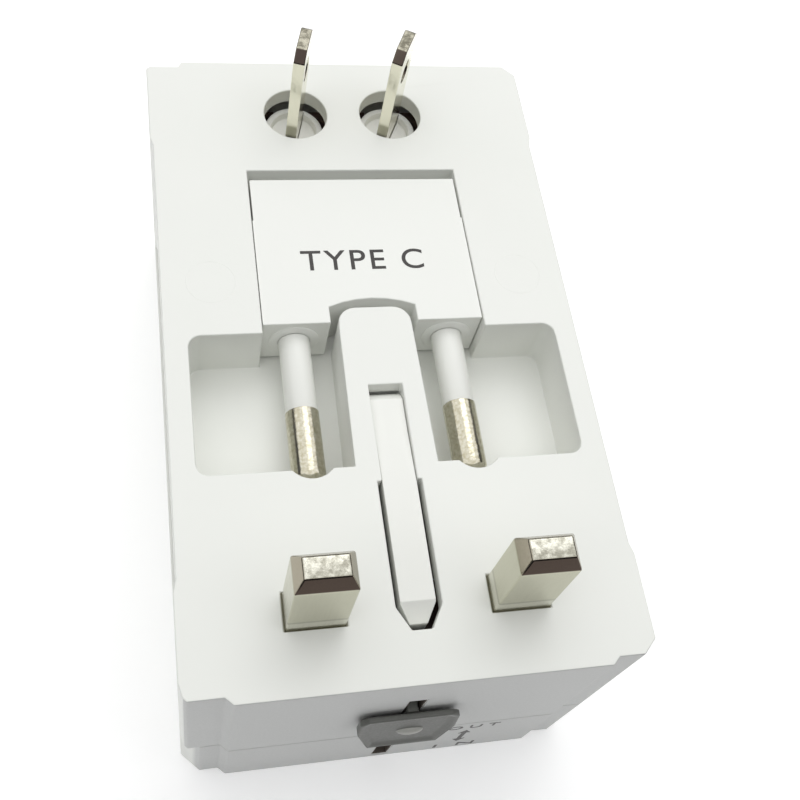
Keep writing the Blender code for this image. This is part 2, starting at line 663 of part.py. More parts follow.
def slider_knob(name, end, tongue_low, tongue_high):
    """Thumb plate outside an end wall, with a flat stem through the slot and a tongue inside."""
    face = BODY_LENGTH / 2 + KNOB_STANDOFF
    top_cut, base_cut, side_cut = 0.9 * MM, 1.5 * MM, 4.4 * MM
    outline = [
        (-KNOB_HALF + base_cut, KNOB_BOTTOM), (KNOB_HALF - base_cut, KNOB_BOTTOM),
        (KNOB_HALF, KNOB_BOTTOM + side_cut), (KNOB_HALF, KNOB_TOP - top_cut),
        (KNOB_HALF - top_cut, KNOB_TOP), (-KNOB_HALF + top_cut, KNOB_TOP),
        (-KNOB_HALF, KNOB_TOP - top_cut), (-KNOB_HALF, KNOB_BOTTOM + side_cut),
    ]
    outline = [(x + end * KNOB_SHIFT, z) for x, z in outline]
    low, high = sorted((-end * face, -end * (face + KNOB_BASE_THICKNESS)))
    knob = plate(name, outline, low, high, KNOB_GREY, END_VIEW)
    slope = [
        (face + KNOB_BASE_THICKNESS, KNOB_BOTTOM), (face + 3 * MM, KNOB_BOTTOM),
        (face + 3 * MM, KNOB_TOP + MM), (face + KNOB_TOP_THICKNESS, KNOB_TOP + MM),
        (face + KNOB_TOP_THICKNESS, KNOB_TOP),
    ]
    cut(knob, plate(name + "_slope", mirrored(slope, end), -2 * KNOB_HALF, 2 * KNOB_HALF, None, SIDE_VIEW))
    stem_top = max(STEM_TOP, tongue_low + 0.7 * MM)
    web = [
        (face + 0.4 * MM, STEM_BOTTOM), (face + 0.4 * MM, stem_top), (STEM_INNER, stem_top),
        (STEM_INNER, tongue_high), (TONGUE_INNER, tongue_high), (TONGUE_INNER, tongue_low),
        (STEM_INNER - 0.2 * MM, tongue_low), (STEM_INNER - 0.2 * MM, STEM_BOTTOM),
    ]
    web = mirrored(web, end)
    join(knob, plate(name + "_web", web, -STEM_HALF, STEM_HALF, None, SIDE_VIEW))
    return knob


def uk_slider():
    """Near slider: carriage, knob, live and neutral pins, and the wipers under them."""
    empty = axis_empty("uk_slide_axis", (0.0, UK_PIN_Y, BODY_HEIGHT))
    near, inner = -CARRIAGE_END, -CARRIAGE_INNER
    bottom, bridge_top, block_top = 23.5 * MM, 28.3 * MM, 33.5 * MM
    outer, block_inner = 14.9 * MM, 6.4 * MM
    half_width, half_depth = UK_PIN_WIDTH / 2 + AXLE_GAP, UK_PIN_DEPTH / 2 + AXLE_GAP
    carriage = box("uk_carriage", (-outer, near, bottom), (outer, inner, bridge_top), INNER_DARK)
    for side, word in SIDES:
        low, high = sorted((side * block_inner, side * outer))
        join(carriage, box("uk_pin_block_" + word, (low, near, bridge_top - MM), (high, inner, block_top)))
        cut(carriage, box("uk_pin_socket_" + word,
                          (side * UK_PIN_X - half_width, UK_PIN_Y - half_depth, bottom - MM),
                          (side * UK_PIN_X + half_width, UK_PIN_Y + half_depth, block_top + MM)))
        pin = tipped_bar("uk_pin_" + word, UK_PIN_WIDTH / 2, UK_PIN_DEPTH / 2, UK_PIN_BOTTOM,
                         UK_PIN_SHOULDER, UK_PIN_TIP, UK_PIN_TIP_INSET, NICKEL)
        pin.location = (side * UK_PIN_X, UK_PIN_Y, 0.0)
        path = [(8.4, 22.6), (14.9, 22.6), (15.45, 23.3), (15.75, 26.5), (15.4, 29.4)]
        wiper = strip("uk_wiper_" + word, in_mm(path, side), UK_PIN_Y - WIPER_WIDTH / 2,
                      UK_PIN_Y + WIPER_WIDTH / 2, "Y", BRASS)
        carry(empty, pin, wiper)
    tongue_low, tongue_high = bottom + 0.5 * MM, bridge_top - 0.3 * MM
    cut(carriage, box("uk_tongue_notch", (-STEM_HALF - GAP, near - MM, bottom - MM),
                      (STEM_HALF + GAP, -TONGUE_INNER + GAP, bridge_top + MM)))
    knob = slider_knob("uk_knob", -1, tongue_low, tongue_high)
    carry(empty, carriage, knob)


def us_slider():
    """Far slider: carriage with two bores for the turrets, retainer, knob and wipers."""
    empty = axis_empty("us_slide_axis", (0.0, US_BLADE_Y, BODY_HEIGHT))
    inner, far = CARRIAGE_INNER, CARRIAGE_END
    plate_bottom, plate_top = 29.0 * MM, 33.0 * MM
    leg_bottom, leg_inner, leg_outer = 25.2 * MM, 11.8 * MM, 13.4 * MM
    retainer_top, retainer_bore = 26.6 * MM, 3.6 * MM
    carriage = box("us_carriage", (-leg_outer, inner, plate_bottom), (leg_outer, far, plate_top), INNER_DARK)
    retainer = box("us_turret_retainer", (-leg_inner + GAP, inner, leg_bottom),
                   (leg_inner - GAP, far, retainer_top), INNER_DARK)
    counterbore_radius, counterbore_floor = 5.3 * MM, 30.4 * MM
    for side, word in SIDES:
        low, high = sorted((side * leg_inner, side * leg_outer))
        join(carriage, box("us_leg_" + word, (low, inner, leg_bottom), (high, far, plate_bottom + MM)))
        centre = (side * US_BLADE_X, US_BLADE_Y)
        cut(carriage,
            cylinder("turret_bore_" + word, TURRET_RADIUS + GAP, (*centre, plate_bottom - MM),
                     (*centre, plate_top + MM), segments=SEGMENTS),
            cylinder("turret_counterbore_" + word, counterbore_radius, (*centre, counterbore_floor),
                     (*centre, plate_top + MM), segments=SEGMENTS))
        cut(retainer, cylinder("blade_bore_" + word, retainer_bore, (*centre, leg_bottom - MM),
                               (*centre, retainer_top + MM), segments=SEGMENTS))
        path = [(3.9, 23.6), (14.2, 23.6), (15.3, 25.0), (15.75, 27.0), (15.3, 29.0)]
        wiper = strip("us_wiper_" + word, in_mm(path, side), US_BLADE_Y - WIPER_WIDTH / 2,
                      US_BLADE_Y + WIPER_WIDTH / 2, "Y", BRASS)
        carry(empty, wiper)
    cut(carriage, box("us_tongue_notch", (-STEM_HALF - GAP, TONGUE_INNER - GAP, plate_bottom - MM),
                      (STEM_HALF + GAP, far + MM, plate_top + MM)))
    knob = slider_knob("us_knob", 1, plate_bottom + 0.3 * MM, plate_top - 0.4 * MM)
    carry(empty, carriage, retainer, knob)


def us_turrets():
    """Two turrets that turn in the far carriage, each with its flat blade."""
    profile = [
        (0.0, TURRET_TOP - TURRET_DISH_DEPTH), (TURRET_DISH_RADIUS, TURRET_TOP - TURRET_DISH_DEPTH),
        (TURRET_DISH_RADIUS, TURRET_TOP), (TURRET_RADIUS, TURRET_TOP),
        (TURRET_RADIUS, TURRET_FLANGE_TOP), (TURRET_FLANGE_RADIUS, TURRET_FLANGE_TOP),
        (TURRET_FLANGE_RADIUS, TURRET_BOTTOM), (0.0, TURRET_BOTTOM),
    ]
    half = US_BLADE_WIDTH / 2
    slot_half_x, slot_half_y = US_BLADE_THICKNESS / 2 + GAP, half + GAP
    blade_outline = [
        (-half, US_BLADE_BOTTOM), (half, US_BLADE_BOTTOM), (half, US_BLADE_SHOULDER),
        (half - US_BLADE_TIP_INSET, US_BLADE_TIP), (-half + US_BLADE_TIP_INSET, US_BLADE_TIP),
        (-half, US_BLADE_SHOULDER),
    ]
    for (side, word), turn in zip(SIDES, (LEFT_BLADE_TURN, RIGHT_BLADE_TURN)):
        empty = axis_empty("turret_axis_" + word, (side * US_BLADE_X, US_BLADE_Y, 0.0), turn)
        turret = turned("us_turret_" + word, profile, INNER_WHITE)
        slot = box("turret_slot_" + word, (-slot_half_x, -slot_half_y, TURRET_BOTTOM - MM),
                   (slot_half_x, slot_half_y, TURRET_TOP + MM))
        cut(turret, slot)
        blade = plate("us_blade_" + word, blade_outline, -US_BLADE_THICKNESS / 2, US_BLADE_THICKNESS / 2,
                      NICKEL, SIDE_VIEW)
        hole = cylinder("blade_eye_" + word, US_BLADE_HOLE_RADIUS,
                        (-US_BLADE_THICKNESS, 0.0, US_BLADE_HOLE_Z),
                        (US_BLADE_THICKNESS, 0.0, US_BLADE_HOLE_Z), segments=32)
        cut(blade, hole)
        carry_local(empty, turret, slot, blade, hole)


# ---------------------------------------------------------------- folding pieces

def bar_along_y(name, radius, x, near, far, mat=None):
    """A round bar along Y at the height of the two-pin block's pins."""
    return cylinder(name, radius, (x, near, EU_PIN_Z), (x, far, EU_PIN_Z), mat, segments=32)


def eu_block():
    """Two-pin block that folds up about its far end, with sleeved round pins and hinge stubs."""
    empty = axis_empty("eu_hinge_axis", (0.0, EU_AXIS_Y, EU_AXIS_Z))
    round_centre = (BLOCK_FAR - BLOCK_BOTTOM_RADIUS, BLOCK_BOTTOM + BLOCK_BOTTOM_RADIUS)
    side_profile = (
        [(BLOCK_NEAR, BLOCK_BOTTOM)]
        + arc(round_centre, BLOCK_BOTTOM_RADIUS, -90, 0)
        + [(BLOCK_FAR, BLOCK_TOP - BLOCK_TOP_CHAMFER), (BLOCK_FAR - BLOCK_TOP_CHAMFER, BLOCK_TOP),
           (BLOCK_NEAR, BLOCK_TOP)])
    block = plate("eu_block", side_profile, -BLOCK_HALF, BLOCK_HALF, BLOCK_WHITE, SIDE_VIEW)
    sag = BLOCK_NOTCH_MIDDLE - BLOCK_NOTCH_SIDE
    radius = (BLOCK_NOTCH_HALF ** 2 + sag ** 2) / (2 * sag)
    spread = math.degrees(math.asin(BLOCK_NOTCH_HALF / radius))
    notch = ([(-BLOCK_NOTCH_HALF, BLOCK_NEAR - MM), (BLOCK_NOTCH_HALF, BLOCK_NEAR - MM)]
             + arc((0.0, BLOCK_NOTCH_MIDDLE - radius), radius, 90 - spread, 90 + spread))
    cut(block, plate("block_notch", notch, BLOCK_BOTTOM - MM, BLOCK_TOP + MM))
    nose = arc((EU_PIN_RADIUS - EU_NOSE_RADIUS, EU_PIN_TIP + EU_NOSE_RADIUS), EU_NOSE_RADIUS, 0, -90)
    pin_profile = [
        (0.0, EU_PIN_TAIL), (EU_CORE_RADIUS, EU_PIN_TAIL), (EU_CORE_RADIUS, EU_SLEEVE_TIP),
        (EU_PIN_RADIUS, EU_SLEEVE_TIP), *nose, (0.0, EU_PIN_TIP),
    ]
    for side, word in SIDES:
        x = side * EU_PIN_X
        bore = EU_CORE_RADIUS + AXLE_GAP
        cut(block, bar_along_y("pin_bore_" + word, bore, x, BLOCK_NEAR - MM, BLOCK_FAR + MM))
        pin = turned("eu_pin_" + word, pin_profile, NICKEL, (x, 0.0, EU_PIN_Z), (-math.pi / 2, 0.0, 0.0))
        sleeve = bar_along_y("eu_sleeve_" + word, EU_SLEEVE_RADIUS, x, EU_SLEEVE_TIP + AXLE_GAP,
                             BLOCK_NEAR - AXLE_GAP, PIN_WHITE)
        cut(sleeve, bar_along_y("sleeve_bore_" + word, bore, x, EU_SLEEVE_TIP - MM, BLOCK_NEAR + MM))
        stub_hole = cylinder("block_stub_hole_" + word, EU_STUB_RADIUS + AXLE_GAP,
                             (side * (EU_STUB_INNER - AXLE_GAP), EU_AXIS_Y, EU_AXIS_Z),
                             (side * (BLOCK_HALF + MM), EU_AXIS_Y, EU_AXIS_Z), segments=24)
        low_x, high_x = sorted((side * BLOCK_SHOULDER_HALF, side * (BLOCK_HALF + MM)))
        cut(block, stub_hole,
            box("block_shoulder_" + word, (low_x, BLOCK_SHOULDER_NEAR, BLOCK_BOTTOM - MM),
                (high_x, BLOCK_FAR + MM, BLOCK_TOP + MM)))
        stub = cylinder("eu_hinge_stub_" + word, EU_STUB_RADIUS, (side * EU_STUB_INNER, EU_AXIS_Y, EU_AXIS_Z),
                        (side * EU_STUB_OUTER, EU_AXIS_Y, EU_AXIS_Z), SPRING_STEEL, segments=24)
        carry(empty, pin, sleeve, stub)
    carry(empty, block)


def earth_pin():
    """Plastic earth pin that folds up about an axle in the ridge."""
    empty = axis_empty("earth_hinge_axis", (0.0, EARTH_AXIS_Y, EARTH_AXIS_Z))
    bevel, oversize = 1.4 * MM, 0.1 * MM
    top_angle = math.degrees(math.asin((EARTH_ROOT_TOP - EARTH_AXIS_Z) / EARTH_ROOT_RADIUS))
    base_angle = math.degrees(math.asin((EARTH_PIN_BOTTOM - EARTH_AXIS_Z) / EARTH_ROOT_RADIUS))
    side_profile = (
        arc((EARTH_AXIS_Y, EARTH_AXIS_Z), EARTH_ROOT_RADIUS, base_angle, top_angle, 10)
        + [(EARTH_ROOT_NEAR, EARTH_ROOT_TOP), (EARTH_PIN_SHOULDER, EARTH_PIN_TOP),
           (EARTH_PIN_TAPER, EARTH_PIN_TOP),
           (EARTH_PIN_TIP, EARTH_PIN_TOP - bevel), (EARTH_PIN_TIP, EARTH_PIN_BOTTOM + bevel),
           (EARTH_PIN_TAPER, EARTH_PIN_BOTTOM)])
    pin = plate("earth_pin", side_profile, -EARTH_PIN_HALF, EARTH_PIN_HALF, PIN_WHITE, SIDE_VIEW)
    far = EARTH_AXIS_Y + EARTH_ROOT_RADIUS + MM
    right = [
        (EARTH_TIP_HALF, EARTH_PIN_TIP - oversize), (EARTH_PIN_HALF + oversize, EARTH_PIN_TAPER),
        (EARTH_PIN_HALF + oversize, EARTH_PIN_SHOULDER), (EARTH_ROOT_HALF, EARTH_PIN_SHOULDER),
        (EARTH_ROOT_HALF, far),
    ]
    plan = right + [(-x, y) for x, y in reversed(right)]
    boolean(pin, plate("earth_pin_plan", plan, EARTH_PIN_BOTTOM - MM, EARTH_PIN_TOP + MM), "INTERSECT")
    bore = EARTH_AXLE_RADIUS + AXLE_GAP
    cut(pin, cylinder("earth_pin_bore", bore, (-EARTH_AXLE_HALF, EARTH_AXIS_Y, EARTH_AXIS_Z),
                      (EARTH_AXLE_HALF, EARTH_AXIS_Y, EARTH_AXIS_Z), segments=24))
    cylinder("earth_hinge_pin", EARTH_AXLE_RADIUS, (-EARTH_AXLE_HALF, EARTH_AXIS_Y, EARTH_AXIS_Z),
             (EARTH_AXLE_HALF, EARTH_AXIS_Y, EARTH_AXIS_Z), SPRING_STEEL, segments=24)
    carry(empty, pin)


# ---------------------------------------------------------------- conductors and springs

def conductors():
    """Bus bars, socket contacts and two-pin contacts, one set for live and one for neutral."""
    track_near, track_far, low, strap_top, high = 36.0, 31.0, 9.0, 13.0, 30.0
    tab_near, tab_far, tab_top = -12.5, -7.5, 21.5
    bar_outline = in_mm([
        (-track_near, low), (track_near, low), (track_near, high), (track_far, high),
        (track_far, strap_top), (tab_far, strap_top), (tab_far, tab_top), (tab_near, tab_top),
        (tab_near, strap_top), (-track_far, strap_top), (-track_far, high), (-track_near, high),
    ])
    mouth, throat, body = (3.5, 4.0), (2.75, 8.0), (3.0, 14.0)
    back = (3.0, 20.6)
    half_fork = [mouth, throat, body, back]
    fork = in_mm([(-y, z) for y, z in half_fork] + half_fork[::-1], shift=SOCKET_LINE_Y)
    leaf = in_mm([(14.5, 21.5), (14.5, 28.85), (21.4, 28.85)])
    wire_route = [
        (9.5, 14.5, 20.3), (9.7, 14.5, 18.6), (11.0, 14.3, 17.2), (12.8, 14.0, 16.3), (15.1, 13.8, 15.4),
    ]
    for side, word in SIDES:
        centre = side * BUS_BAR_X
        plate("bus_bar_" + word, bar_outline, centre - BUS_BAR_THICKNESS / 2,
              centre + BUS_BAR_THICKNESS / 2, BRASS, SIDE_VIEW)
        low_x, high_x = sorted((side * SOCKET_CONTACT_INNER, side * SOCKET_CONTACT_OUTER))
        strip("socket_contact_" + word, fork, low_x, high_x, "X", BRASS)
        eu_x = side * EU_PIN_X
        strip("eu_contact_" + word, leaf, eu_x - EU_CONTACT_HALF, eu_x + EU_CONTACT_HALF, "X", BRASS,
              SPRING_THICKNESS)
        tube("eu_link_wire_" + word, [(side * x * MM, y * MM, z * MM) for x, y, z in wire_route],
             WIRE_RADIUS, WIRE_RED)


def contact_carrier():
    """Insulating frame over the socket contacts, with a wall between live and neutral."""
    half_x, near, far = 14.6 * MM, -18.0 * MM, 7.0 * MM
    bottom, ceiling, top = FLOOR_THICKNESS + GAP, 21.5 * MM, 23.0 * MM
    wall = 1.4 * MM
    carrier = box("contact_carrier", (-half_x, near, ceiling), (half_x, far, top), INNER_WHITE)
    join(carrier,
         box("carrier_near_wall", (-half_x, near, bottom), (half_x, near + wall, ceiling + GAP)),
         box("carrier_far_wall", (-half_x, far - wall, bottom), (half_x, far, ceiling + GAP)),
         box("carrier_barrier", (-wall / 2, near + GAP, bottom), (wall / 2, far - GAP, ceiling + GAP)))
    return carrier


def detent_springs():
    """Leaf springs that hold the sliders out or in, standing on the lower shell's floor."""
    path = [(23.2, 2.5), (26.4, 2.5), (26.4, 14.0), (27.8, 18.0), (26.4, 22.0), (26.4, 25.0)]
    for end, word in ((-1, "uk"), (1, "us")):
        strip(word + "_detent_spring", in_mm(path, end), -SPRING_HALF, SPRING_HALF, "X",
              SPRING_STEEL, SPRING_THICKNESS)


upper_shell()
lower_shell()
case_screws()
uk_slider()
us_slider()
us_turrets()
eu_block()
earth_pin()
conductors()
contact_carrier()
detent_springs()
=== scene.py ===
"""Looks of the travel adapter: rounded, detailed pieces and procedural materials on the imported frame."""

import json
import math

import bmesh
import bpy
from mathutils import Matrix, Vector

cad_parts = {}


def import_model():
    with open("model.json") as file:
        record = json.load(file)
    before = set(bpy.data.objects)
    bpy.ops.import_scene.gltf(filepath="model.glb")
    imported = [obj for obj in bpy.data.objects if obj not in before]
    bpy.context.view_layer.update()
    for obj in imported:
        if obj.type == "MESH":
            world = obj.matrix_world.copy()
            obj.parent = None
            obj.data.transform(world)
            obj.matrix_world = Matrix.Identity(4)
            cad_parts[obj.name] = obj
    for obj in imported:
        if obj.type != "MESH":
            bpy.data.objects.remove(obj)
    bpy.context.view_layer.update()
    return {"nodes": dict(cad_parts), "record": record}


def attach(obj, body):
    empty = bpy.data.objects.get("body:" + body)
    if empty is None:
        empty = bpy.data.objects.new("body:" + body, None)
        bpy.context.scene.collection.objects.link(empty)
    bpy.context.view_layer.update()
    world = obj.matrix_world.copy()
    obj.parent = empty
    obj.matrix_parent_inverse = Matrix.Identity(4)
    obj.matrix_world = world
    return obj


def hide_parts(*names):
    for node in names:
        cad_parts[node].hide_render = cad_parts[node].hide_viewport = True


MM = 0.001
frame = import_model()
NODES = frame["nodes"]
BODY_OF = {node: body for body, nodes in frame["record"]["behaviour"]["bodies"].items() for node in nodes}

PIECES = bpy.data.collections.new("looks")
bpy.context.scene.collection.children.link(PIECES)

SIDES = (("left", -1), ("right", 1))
ENDS = (("near", -1), ("far", 1))
ALONG_Y = (0, 1, 0)
UP = (0, 0, 1)

# Places in the adapter's own frame.
FACE_Z = 38.0 * MM
BLOCK_TOP_Z = 37.8 * MM
END_WALL_Y = 42.5 * MM
CAVITY_END_Y = 40.3 * MM
UK_PIN_X, UK_PIN_Y = 11.1 * MM, -33.5 * MM
EU_PIN_X, EU_PIN_Z = 9.5 * MM, 34.0 * MM
US_BLADE_X, US_BLADE_Y = 6.35 * MM, 33.58 * MM
SCREW_X, SCREW_Y = 20.4 * MM, 36.4 * MM


# ---------------------------------------------------------------- material tools

# Noise scales: the features are about 1 / scale metres across.
CLOUDS = 45.0
WAVES = 70.0
GRAIN = 3200.0
FINE_GRAIN = 4200.0
INK_GRAIN = 6000.0
WEAR = 700.0
MOTTLE = 1100.0
DENTS = 2200.0
WIDE_STREAKS = 2600.0
STREAKS = 5200.0

GRAIN_DEPTH = 0.012 * MM
STREAK_DEPTH = 0.012 * MM
DENT_DEPTH = 0.05 * MM
STREAK_STRETCH = 0.05


def new_material(name, colour, roughness, metallic=0.0):
    """A Principled material with its plain values set on the shader itself."""
    mat = bpy.data.materials.new(name)
    mat.use_nodes = True
    shader = mat.node_tree.nodes["Principled BSDF"]
    shader.inputs["Base Color"].default_value = (*colour, 1.0)
    shader.inputs["Roughness"].default_value = roughness
    shader.inputs["Metallic"].default_value = metallic
    return mat


def noise(mat, scale, detail=2.0, stretch=(1.0, 1.0, 1.0), roughness=0.5):
    """A noise pattern in object space."""
    tree = mat.node_tree
    place = tree.nodes.new("ShaderNodeTexCoord")
    mapping = tree.nodes.new("ShaderNodeMapping")
    mapping.inputs["Scale"].default_value = stretch
    tree.links.new(place.outputs["Object"], mapping.inputs["Vector"])
    texture = tree.nodes.new("ShaderNodeTexNoise")
    texture.inputs["Scale"].default_value = scale
    texture.inputs["Detail"].default_value = detail
    texture.inputs["Roughness"].default_value = roughness
    tree.links.new(mapping.outputs["Vector"], texture.inputs["Vector"])
    return texture.outputs["Fac"]


def part_of(mat, kind, axis):
    """One axis of a place or a normal in object space; kind is "Object" or "Normal"."""
    tree = mat.node_tree
    place = tree.nodes.new("ShaderNodeTexCoord")
    split = tree.nodes.new("ShaderNodeSeparateXYZ")
    tree.links.new(place.outputs[kind], split.inputs["Vector"])
    return split.outputs[axis]


def span(mat, value, low, high, start=0.3, end=0.7):
    """Map a pattern's value from start..end to low..high."""
    node = mat.node_tree.nodes.new("ShaderNodeMapRange")
    node.inputs["From Min"].default_value = start
    node.inputs["From Max"].default_value = end
    node.inputs["To Min"].default_value = low
    node.inputs["To Max"].default_value = high
    mat.node_tree.links.new(value, node.inputs["Value"])
    return node.outputs["Result"]


def colour_mix(mat, value, low, high):
    """Mix two colours by a value between 0 and 1; a colour is a triple or another pattern."""
    node = mat.node_tree.nodes.new("ShaderNodeMix")
    node.data_type = "RGBA"
    for socket, colour in ((node.inputs["A"], low), (node.inputs["B"], high)):
        if isinstance(colour, tuple):
            socket.default_value = (*colour, 1.0)
        else:
            mat.node_tree.links.new(colour, socket)
    mat.node_tree.links.new(value, node.inputs["Factor"])
    return node.outputs["Result"]


def feed(mat, socket, value):
    """Link a pattern to one of the shader's inputs."""
    shader = mat.node_tree.nodes["Principled BSDF"]
    mat.node_tree.links.new(value, shader.inputs[socket])


def bump(mat, *layers):
    """Stack bump layers of (height, distance, strength) on the shader's normal."""
    tree = mat.node_tree
    last = None
    for height, distance, strength in layers:
        node = tree.nodes.new("ShaderNodeBump")
        node.inputs["Distance"].default_value = distance
        node.inputs["Strength"].default_value = strength
        tree.links.new(height, node.inputs["Height"])
        if last is not None:
            tree.links.new(last, node.inputs["Normal"])
        last = node.outputs["Normal"]
    feed(mat, "Normal", last)


# ---------------------------------------------------------------- materials

def cloudy(mat, light, dark):
    """Two close colours in soft clouds."""
    return colour_mix(mat, span(mat, noise(mat, CLOUDS, 3.0), 0.0, 1.0), light, dark)


def moulded_surface(mat, roughness, grain, grain_depth):
    """The surface left by a mould: spark-eroded grain and faint waviness."""
    speck = noise(mat, grain, 2.0)
    feed(mat, "Roughness", span(mat, speck, roughness - 0.05, roughness + 0.07))
    bump(mat, (speck, grain_depth, 0.35), (noise(mat, WAVES, 1.0), 0.05 * MM, 0.25))


def moulded_plastic(name, light, dark, roughness, grain=GRAIN, grain_depth=GRAIN_DEPTH):
    """Injection-moulded plastic with slight cloudy variation."""
    mat = new_material(name, light, roughness)
    feed(mat, "Base Color", cloudy(mat, light, dark))
    moulded_surface(mat, roughness, grain, grain_depth)
    return mat


def shell_plastic():
    """The case's plastic, with painted shade that darkens the near end wall."""
    light, dark, end_wall_shade = (0.845, 0.855, 0.815), (0.825, 0.837, 0.795), (0.545, 0.552, 0.540)
    roughness = 0.42
    mat = new_material("shell_plastic", light, roughness)
    plain = cloudy(mat, light, dark)
    # The near end wall's darker grey is painted shade, on faces that are close to the near end and turned
    # towards it.
    fade_start, fade_end = 1.2 * MM - END_WALL_Y, 1.7 * MM - END_WALL_Y
    at_end = span(mat, part_of(mat, "Object", "Y"), 1.0, 0.0, fade_start, fade_end)
    towards_end = span(mat, part_of(mat, "Normal", "Y"), 1.0, 0.0, -0.64, -0.45)
    shaded_end_colour = colour_mix(mat, at_end, plain, end_wall_shade)
    feed(mat, "Base Color", colour_mix(mat, towards_end, plain, shaded_end_colour))
    moulded_surface(mat, roughness, GRAIN, GRAIN_DEPTH)
    return mat


def plated_metal(name, light, dark, roughness, along, streak=STREAKS, dent_depth=DENT_DEPTH):
    """Plated metal with drawn streaks along one axis, small dents and patchy polish."""
    mat = new_material(name, light, roughness, 1.0)
    stretch = tuple(STREAK_STRETCH if axis == along else 1.0 for axis in "XYZ")
    streaks = noise(mat, streak, 3.0, stretch, 0.6)
    patches = noise(mat, DENTS, 3.0, roughness=0.6)
    feed(mat, "Base Color", colour_mix(mat, span(mat, patches, 0.0, 1.0), light, dark))
    feed(mat, "Roughness", span(mat, streaks, roughness - 0.06, roughness + 0.12))
    bump(mat, (streaks, STREAK_DEPTH, 0.4), (patches, dent_depth, 0.35))
    return mat


def upright_metal(name, sides, root, tip, worn, bevels, wear_height):
    """Plated metal for upright pins: rubbed at the root, mottled on the end, with painted dark reflections
    on its bevels.

    The bevel colours, near bevel first, are painted dark reflections of the dim surround.
    """
    mat = new_material(name, sides, 0.16, 1.0)
    streaks = noise(mat, STREAKS, 3.0, (1.0, 1.0, STREAK_STRETCH), 0.6)
    patches = noise(mat, WEAR, 3.0, roughness=0.6)
    height = part_of(mat, "Object", "Z")
    facing_up = part_of(mat, "Normal", "Z")
    facing_far = part_of(mat, "Normal", "Y")

    wear_edge = tuple(0.72 * channel for channel in sides)
    below = span(mat, height, 0.0, 1.0, wear_height - 0.35 * MM, wear_height - 0.1 * MM)
    above = span(mat, height, 0.0, 1.0, wear_height + 0.05 * MM, wear_height + 0.4 * MM)
    side_colour = colour_mix(mat, above, colour_mix(mat, below, root, wear_edge), sides)

    # Painted reflection: the near bevel is near-black and the other bevels darker, standing for the dim
    # surround they mirror.
    near_bevel = span(mat, facing_far, 1.0, 0.0, -0.6, -0.45)
    bevel_reflection_colour = colour_mix(mat, near_bevel, bevels[1], bevels[0])
    on_bevel = span(mat, facing_up, 0.0, 1.0, 0.18, 0.34)
    capped = colour_mix(mat, on_bevel, side_colour, bevel_reflection_colour)

    mottle = span(mat, noise(mat, MOTTLE, 4.0, roughness=0.65), 0.0, 1.0, 0.40, 0.62)
    on_end = span(mat, facing_up, 0.0, 1.0, 0.86, 0.96)
    feed(mat, "Base Color", colour_mix(mat, on_end, capped, colour_mix(mat, mottle, tip, worn)))
    feed(mat, "Roughness", span(mat, streaks, 0.12, 0.26))
    bump(mat, (streaks, STREAK_DEPTH, 0.4), (patches, DENT_DEPTH, 0.3))
    return mat


SHELL = shell_plastic()
BLOCK = moulded_plastic("block_plastic", (0.855, 0.865, 0.825), (0.84, 0.85, 0.81), 0.38)
NYLON = moulded_plastic("pin_nylon", (0.835, 0.842, 0.80), (0.815, 0.822, 0.78), 0.34, FINE_GRAIN,
                        0.5 * GRAIN_DEPTH)
INNER = moulded_plastic("inner_plastic", (0.80, 0.80, 0.77), (0.77, 0.77, 0.74), 0.48)
# The turrets' plastic is the inner white made brighter: painted light in the deep dishes.
TURRET_LIT = moulded_plastic("turret_lit_plastic", (0.93, 0.935, 0.91), (0.91, 0.915, 0.885), 0.40)
GREY = moulded_plastic("knob_plastic", (0.130, 0.132, 0.120), (0.116, 0.119, 0.108), 0.40)
# The knob bar's grey is the knob's plastic made lighter: a painted highlight where the raised bar catches
# light.
BAR_LIT_GREY = moulded_plastic("knob_bar_lit_plastic", (0.44, 0.44, 0.41), (0.40, 0.40, 0.37), 0.38)
DARK = moulded_plastic("inner_dark_plastic", (0.12, 0.080, 0.066), (0.14, 0.094, 0.078), 0.5)
# The seals' olive is the white inner plastic darkened: painted shade in the gaps round the flat pins.
SEAL_SHADE = moulded_plastic("seal_shade_plastic", (0.33, 0.32, 0.24), (0.28, 0.27, 0.20), 0.6)
# The slot lips' near-black is painted shade inside the sliders' slots.
SLOT_SHADE = moulded_plastic("slot_shade_plastic", (0.12, 0.10, 0.08), (0.09, 0.075, 0.06), 0.6)
WIRE = moulded_plastic("wire_sleeve", (0.46, 0.035, 0.025), (0.40, 0.03, 0.02), 0.45)
INK = moulded_plastic("printing_ink", (0.028, 0.024, 0.022), (0.045, 0.04, 0.036), 0.45, INK_GRAIN)
ROUND_NICKEL = plated_metal("round_pin_nickel", (0.66, 0.635, 0.535), (0.43, 0.395, 0.28), 0.13, "Y",
                            WIDE_STREAKS, 1.2 * DENT_DEPTH)
# The bevel colours given to the upright pins are painted dark reflections.
UK_NICKEL = upright_metal("uk_pin_nickel", sides=(0.56, 0.55, 0.43), root=(0.66, 0.65, 0.55),
                          tip=(0.62, 0.61, 0.53), worn=(0.30, 0.29, 0.24),
                          bevels=((0.075, 0.056, 0.045), (0.34, 0.31, 0.24)), wear_height=40.3 * MM)
US_NICKEL = upright_metal("us_blade_nickel", sides=(0.84, 0.82, 0.68), root=(0.84, 0.82, 0.70),
                          tip=(0.44, 0.42, 0.34), worn=(0.16, 0.15, 0.115),
                          bevels=((0.070, 0.053, 0.045), (0.20, 0.18, 0.14)), wear_height=37.0 * MM)
BRASS = plated_metal("rolled_brass", (0.80, 0.60, 0.30), (0.70, 0.50, 0.22), 0.28, "Y")
STEEL = plated_metal("spring_steel", (0.58, 0.58, 0.58), (0.48, 0.48, 0.49), 0.28, "Z")
